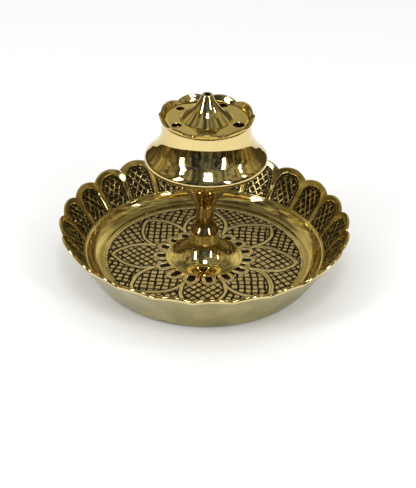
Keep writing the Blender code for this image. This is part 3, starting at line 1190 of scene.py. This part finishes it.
@dataclass
class Lid:
    """The lid: a disc with a hollow cone for the incense stick and four drilled vents.

    Attributes:
        radius: Radius of the disc.
        top_z: Height of the disc's upper face.
        thickness: Thickness of the disc.
        cone: Radius of the cone's base.
        tip: Radius and height of the cone's flat tip.
        hole: Radius of the stick hole.
        vent_circle: Radius of the circle that the vents lie on.
        vents: Direction in degrees and radius of each vent.
        steps: Segments round the axis.
    """

    radius: float = 19.3
    top_z: float = 81.0
    thickness: float = 1.6
    cone: float = 11.6
    tip: Point = (2.3, 93.3)
    hole: float = 1.5
    vent_circle: float = 16.0
    vents: tuple[Point, ...] = ((62.0, 2.2), (142.0, 1.9), (210.0, 2.3), (337.0, 2.6))
    steps: int = 288

    def build(self, finishes: Finishes) -> None:
        """Build, drill and dress the lid.

        Args:
            finishes: The materials.
        """
        under = self.top_z - self.thickness
        tip = [(self.hole + 0.12, self.tip[1]), (self.tip[0] - 0.12, self.tip[1])]
        cone = smooth_run([(self.tip[0] + 0.03, self.tip[1] - 0.12), (2.6, 92.6), (4.4, 89.0), (7.2, 85.4),
                           (self.cone, self.top_z + 0.25)], 0.35)
        groove = [(self.cone + 0.05, self.top_z - 0.25), (self.cone + 0.2, self.top_z - 0.38),
                  (self.cone + 0.5, self.top_z - 0.3), (self.cone + 0.75, self.top_z - 0.03)]
        disc = even_run([(self.cone + 0.95, self.top_z), (self.radius - 0.3, self.top_z)], 0.7)
        edge = [(self.radius - 0.08, self.top_z - 0.08), (self.radius, self.top_z - 0.3),
                (self.radius, under + 0.3), (self.radius - 0.3, under)]
        hollow = smooth_run([(9.4, under), (6.1, 83.8), (3.2, 87.6), (self.hole, 90.0)], 0.8)
        profile = tip + cone + groove + disc + edge + hollow + [(self.hole, self.tip[1] - 0.12)]
        obj = Turning("lid_disc", profile, self.steps).build()
        surface = Surface(obj)
        surface.push(0.0, 0.02 * ripple(*surface.co.T, 13.0, 61) * ease(3.0, 8.0, surface.radius))
        surface.write()
        self._drill(obj)
        settle(obj, "lid", finishes.mirror, ["lid"])

    def _drill(self, obj: bpy.types.Object) -> None:
        """Cut the vents, each with a small chamfer.

        Args:
            obj: The turned lid.
        """
        low, high = self.top_z - self.thickness, self.top_z
        drills = []
        for number, (direction, radius) in enumerate(self.vents, start=1):
            profile = [(0.0, high + 1.0), (radius + 1.2, high + 1.0), (radius, high - 0.2),
                       (radius, low + 0.2), (radius + 1.2, low - 1.0), (0.0, low - 1.0)]
            drill = Turning(f"drill_{number}", profile, 40).build()
            turn = math.radians(direction)
            drill.data.transform(Matrix.Translation((self.vent_circle * math.cos(turn) * MM,
                                                     self.vent_circle * math.sin(turn) * MM, 0.0)))
            drills.append(drill)
        cut_away(obj, drills)


def cut_away(obj: bpy.types.Object, tools: Sequence[bpy.types.Object]) -> None:
    """Cut tools out of a piece, keep the result as its mesh and remove the tools.

    Args:
        obj: The piece.
        tools: Closed objects that only cut it.
    """
    for tool in tools:
        cut = obj.modifiers.new(tool.name, "BOOLEAN")
        cut.operation, cut.solver, cut.object = "DIFFERENCE", "EXACT", tool
    bpy.context.view_layer.update()
    mesh = bpy.data.meshes.new_from_object(obj.evaluated_get(bpy.context.evaluated_depsgraph_get()))
    obj.modifiers.clear()
    obj.data = mesh
    for tool in tools:
        bpy.data.objects.remove(tool, do_unlink=True)


# ---------------------------------------------------------------- fasteners


@dataclass
class Fasteners:
    """The long slotted screw, the washer and the hexagon nut that hold the burner together.

    Attributes:
        shank: Radius of the screw.
        head: Radius of its head.
        head_z: Lower and upper height of its head.
        end_z: Height of its upper end.
        thread_z: Height where its thread starts.
        thread_pitch: Pitch of its thread.
        slot: Length, width and depth of the slot's cut.
        washer_z: Lower and upper height of the washer.
        washer_radius: Radius of the washer.
        nut_z: Lower and upper height of the nut.
        flats: Distance across the nut's flats.
    """

    shank: float = 2.0
    head: float = 4.0
    head_z: Point = (0.6, 2.75)
    end_z: float = 55.5
    thread_z: float = 45.0
    thread_pitch: float = 0.7
    slot: tuple[float, float, float] = (12.0, 1.0, 0.9)
    washer_z: Point = (49.6, 50.75)
    washer_radius: float = 5.0
    nut_z: Point = (50.85, 54.3)
    flats: float = 7.0

    def build(self, finishes: Finishes) -> None:
        """Build and dress the screw, the washer and the nut.

        Args:
            finishes: The materials.
        """
        settle(self._screw(), "burner", finishes.fastener, ["tie_screw"])
        settle(self._washer(), "burner", finishes.zinc, ["washer"])
        settle(self._nut(), "burner", finishes.zinc, ["hex_nut"])

    def _screw(self) -> bpy.types.Object:
        """The screw with its domed slotted head and a cut thread at its upper end.

        Returns:
            The object.
        """
        low, high = self.head_z
        thread = even_run([(self.shank, self.end_z - 0.5), (self.shank, self.thread_z)], 0.09)
        profile = [(0.0, self.end_z), (self.shank - 0.5, self.end_z)] + thread
        profile += [(self.shank, high), (self.head - 0.15, high), (self.head, high - 0.15),
                    (self.head, low + 0.7), (self.head - 0.2, low + 0.3), (self.head - 0.7, low),
                    (self.head * 0.5, low), (0.0, low)]
        obj = Turning("screw_body", profile, 72).build()
        surface = Surface(obj)
        wind = np.mod(surface.co[:, 2] / self.thread_pitch - surface.angle / 360.0, 1.0)
        cut = 0.28 * np.abs(2.0 * wind - 1.0) * surface.between(3, 1 + len(thread))
        surface.push(-cut, 0.0)
        surface.write()
        blade = Turning("slot_tool", [(0.0, 1.0), (1.0, 1.0), (1.0, 0.0), (0.0, 0.0)], 4, 45.0).build()
        length, width, depth = self.slot
        side = math.sqrt(2.0)
        blade.data.transform(Matrix.Diagonal((length / side, width / side, 1.0, 1.0))
                             @ Matrix.Translation((0.0, 0.0, (low + depth - 1.0) * MM)))
        cut_away(obj, [blade])
        return obj

    def _washer(self) -> bpy.types.Object:
        """The washer, with rounded edges from stamping.

        Returns:
            The object.
        """
        low, high = self.washer_z
        outer = self.washer_radius
        profile = [(outer - 0.25, high), (outer - 0.06, high - 0.07), (outer, high - 0.25),
                   (outer, low + 0.15), (outer - 0.1, low), (BORE + 0.1, low), (BORE, low + 0.1),
                   (BORE, high - 0.25), (BORE + 0.2, high)]
        return Turning("washer_disc", profile, 96).build()

    def _nut(self) -> bpy.types.Object:
        """The nut: a hexagon whose corners are chamfered by a cone.

        Returns:
            The object.
        """
        low, high = self.nut_z
        corner = self.flats / 2 / math.cos(math.pi / 6)
        side = even_run([(corner, high - 0.02), (corner, low + 0.02)], 0.14)
        top = [(2.05, high - 0.35), (2.4, high), (3.3, high)]
        profile = top + side + [(3.3, low), (2.4, low), (2.05, low + 0.35)]
        obj = Turning("nut_hexagon", profile, 144).build()
        surface = Surface(obj)
        turn = np.mod(surface.angle + 30.0, 60.0) - 30.0
        flat = self.flats / 2 / np.cos(np.radians(turn))
        height = surface.co[:, 2]
        edge = np.minimum(height - low, high - height)
        cone = self.flats / 2 - 0.08 + edge * math.tan(math.radians(60.0))
        reach = np.minimum(flat, cone)
        on_side = surface.between(3, 2 + len(side))
        surface.push(np.where(on_side, reach - surface.radius, 0.0), 0.0)
        surface.write()
        return obj


# ---------------------------------------------------------------- studio


@dataclass
class SoftBox:
    """One rectangular lamp aimed at the burner.

    Attributes:
        name: Name of the lamp.
        azimuth: Direction it stands in, in degrees.
        elevation: Height angle in degrees.
        distance: Distance in metres.
        size: Width and height in metres.
        power: Power in watts.
    """

    name: str
    azimuth: float
    elevation: float
    distance: float
    size: Point
    power: float

    def build(self, target: Vector) -> None:
        """Make the lamp.

        Args:
            target: Point that it is aimed at.
        """
        light = bpy.data.lights.new(self.name, "AREA")
        light.shape, light.size, light.size_y = "RECTANGLE", self.size[0], self.size[1]
        light.energy = self.power
        turn, lift = math.radians(self.azimuth), math.radians(self.elevation)
        way = Vector((math.cos(turn) * math.cos(lift), math.sin(turn) * math.cos(lift), math.sin(lift)))
        obj = bpy.data.objects.new(self.name, light)
        obj.location = target + way * self.distance
        obj.rotation_euler = way.to_track_quat("Z", "Y").to_euler()
        bpy.context.scene.collection.objects.link(obj)


@dataclass
class Studio:
    """Pale floor, soft surroundings, lamps and camera.

    Attributes:
        floor_radius: Radius of the floor in metres.
        sheet_radius: Radius of the part of it that shows in the brass, in metres.
        camera_place: Place of the camera in metres.
        tilt: Downward tilt of the camera in degrees.
        roll: Roll of the camera in degrees.
        lens: Focal length in millimetres on a 36 mm sensor.
        shift: Lens shift.
        aim_z: Height that the lamps are aimed at, in metres.
        fill: Even light that matt surfaces get from all round.
        backdrop: Tone behind the floor.
    """

    floor_radius: float = 6.0
    sheet_radius: float = 0.56
    camera_place: tuple[float, float, float] = (0.0, -0.5293, 0.3399)
    tilt: float = 29.92
    roll: float = 1.1
    lens: float = 93.6
    shift: Point = (0.0057, -0.0828)
    aim_z: float = 0.045
    fill: Colour = (0.98, 0.98, 0.98)
    backdrop: Colour = (0.90, 0.90, 0.895)

    def build(self) -> None:
        """Build the whole studio."""
        self._floor()
        self._surroundings()
        target = Vector((0.0, 0.0, self.aim_z))
        for box in (
            SoftBox("Window left", -146.0, 34.0, 0.85, (0.13, 0.46), 1.9),
            SoftBox("Window right", -48.0, 30.0, 0.85, (0.10, 0.42), 1.5),
            SoftBox("Window high", -84.0, 60.0, 0.85, (0.17, 0.14), 0.8),
            SoftBox("Window side", -8.0, 36.0, 0.9, (0.05, 0.14), 0.3),
        ):
            box.build(target)
        self._camera()

    def _floor(self) -> None:
        """The pale floor, and the near part of it that the polished brass mirrors."""
        paper = bpy.data.materials.new("Paper")
        paper.use_nodes = True
        shader = paper.node_tree.nodes["Principled BSDF"]
        shader.inputs["Base Color"].default_value = (0.86, 0.86, 0.855, 1.0)
        shader.inputs["Roughness"].default_value = 0.85
        shader.inputs["Specular IOR Level"].default_value = 0.2
        discs = []
        for name, radius, behind, height in (("studio_floor", self.floor_radius, 0.0, 0.0),
                                             ("studio_sheet", self.sheet_radius, 0.26, 0.0002)):
            bm = bmesh.new()
            bmesh.ops.create_circle(bm, cap_ends=True, segments=96, radius=radius)
            bmesh.ops.translate(bm, verts=bm.verts, vec=(0.0, behind, height))
            mesh = bpy.data.meshes.new(name)
            bm.to_mesh(mesh)
            bm.free()
            mesh.materials.append(paper)
            disc = bpy.data.objects.new(name, mesh)
            bpy.context.scene.collection.objects.link(disc)
            discs.append(disc)
        floor, sheet = discs
        floor.visible_glossy = False
        sheet.visible_camera = sheet.visible_diffuse = sheet.visible_shadow = False

    def _surroundings(self) -> None:
        """Surroundings: a dim room in front, warmer walls at the sides and a pale one behind."""
        world = bpy.data.worlds.new("Surroundings")
        world.use_nodes = True
        graph = Graph(world.node_tree)
        output = world.node_tree.nodes["World Output"]
        background = world.node_tree.nodes["Background"]
        sky = graph.put("ShaderNodeTexCoord").outputs["Generated"]
        way = graph.put("ShaderNodeSeparateXYZ", {0: sky}).outputs
        tall = graph.put("ShaderNodeMapping", {"Vector": sky, "Scale": (1.0, 1.0, 0.16)}).outputs[0]
        height = graph.math("ADD", graph.math("MULTIPLY", way[2], 0.5), 0.5)
        front = self._ramp(graph, height, [(0.0, (0.10, 0.08, 0.05)), (0.44, (0.08, 0.06, 0.04)),
                                           (0.50, (0.070, 0.078, 0.085)), (0.86, (0.10, 0.105, 0.11)),
                                           (0.93, (0.24, 0.23, 0.16)), (0.985, (0.16, 0.15, 0.11))])
        flank = self._ramp(graph, height, [(0.0, (0.10, 0.08, 0.05)), (0.47, (0.055, 0.04, 0.02)),
                                           (0.62, (0.09, 0.07, 0.035)), (0.76, (0.17, 0.15, 0.09)),
                                           (0.90, (0.24, 0.22, 0.14)), (1.0, (0.14, 0.13, 0.10))])
        sides = self._ramp(graph, height, [(0.0, (0.12, 0.10, 0.06)), (0.47, (0.24, 0.17, 0.055)),
                                           (0.62, (0.30, 0.23, 0.09)), (0.80, (0.30, 0.26, 0.15)),
                                           (0.92, (0.20, 0.18, 0.12)), (1.0, (0.14, 0.13, 0.10))])
        back = self._ramp(graph, height, [(0.0, (0.10, 0.08, 0.05)), (0.47, (0.09, 0.065, 0.03)),
                                          (0.64, (0.16, 0.13, 0.07)), (0.71, (0.66, 0.60, 0.36)),
                                          (0.80, (0.56, 0.52, 0.33)), (0.86, (0.20, 0.18, 0.11)),
                                          (1.0, (0.12, 0.11, 0.08))])
        room = graph.blend(graph.ease(graph.math("ABSOLUTE", way[0]), 0.35, 0.75), front, flank)
        room = graph.blend(graph.ease(way[1], -0.15, 0.10), room, sides)
        room = graph.blend(graph.ease(way[1], 0.30, 0.60), room, back)
        edges = graph.ease(graph.noise(tall, 4.2, 4.0, 0.6, 0.4), 0.44, 0.56, 0.35, 1.5)
        strips = graph.ease(graph.noise(tall, 9.0, 2.0, 0.5), 0.42, 0.58, 0.6, 1.4)
        uneven = graph.math("MULTIPLY", edges, strips)
        share = graph.ease(way[1], 0.0, 0.5, 1.0, 0.5)
        uneven = graph.math("ADD", graph.math("MULTIPLY", uneven, share),
                            graph.math("SUBTRACT", 1.0, share))
        grey = graph.put("ShaderNodeCombineColor", {0: uneven, 1: uneven, 2: uneven}).outputs[0]
        room = graph.put("ShaderNodeMix", {0: 1.0, 6: room, 7: grey}, data_type="RGBA",
                         blend_type="MULTIPLY").outputs[2]
        rays = graph.put("ShaderNodeLightPath").outputs
        seen = graph.blend(rays["Is Diffuse Ray"], room, self.fill)
        seen = graph.blend(rays["Is Camera Ray"], seen, self.backdrop)
        world.node_tree.links.new(seen, background.inputs["Color"])
        world.node_tree.links.new(background.outputs[0], output.inputs[0])
        bpy.context.scene.world = world

    @staticmethod
    def _ramp(graph: Graph, value: bpy.types.NodeSocket,
              stops: Sequence[tuple[float, Colour]]) -> bpy.types.NodeSocket:
        """Ramp of colours.

        Args:
            graph: The world's graph.
            value: Number from 0 to 1.
            stops: Positions and colours.

        Returns:
            The colour.
        """
        node = graph.put("ShaderNodeValToRGB", {0: value})
        elements = node.color_ramp.elements
        while len(elements) < len(stops):
            elements.new(0.5)
        for element, (position, colour) in zip(elements, stops):
            element.position = position
            element.color = (*colour, 1.0)
        return node.outputs[0]

    def _camera(self) -> None:
        """The camera, looking down at the burner from in front, and plain tones."""
        data = bpy.data.cameras.new("Camera")
        data.lens, data.sensor_width = self.lens, 36.0
        data.shift_x, data.shift_y = self.shift
        data.clip_start, data.clip_end = 0.01, 50.0
        camera = bpy.data.objects.new("Camera", data)
        turn = Matrix.Rotation(math.radians(90.0 - self.tilt), 4, "X") @ Matrix.Rotation(
            math.radians(self.roll), 4, "Z")
        camera.matrix_world = Matrix.Translation(self.camera_place) @ turn
        bpy.context.scene.collection.objects.link(camera)
        bpy.context.scene.camera = camera
        bpy.context.scene.view_settings.view_transform = "Standard"


def main() -> None:
    """Build the burner and its studio."""
    logging.basicConfig(level=logging.INFO, format="%(name)s %(message)s")
    finishes = Finishes.build()
    builders: tuple[Callable[[Finishes], None], ...] = (
        Dish().build, Foot().build, Stem().build, Cup().build, Lid().build, Fasteners().build)
    for build in builders:
        build(finishes)
    Studio().build()


if __name__ == "__main__":
    main()
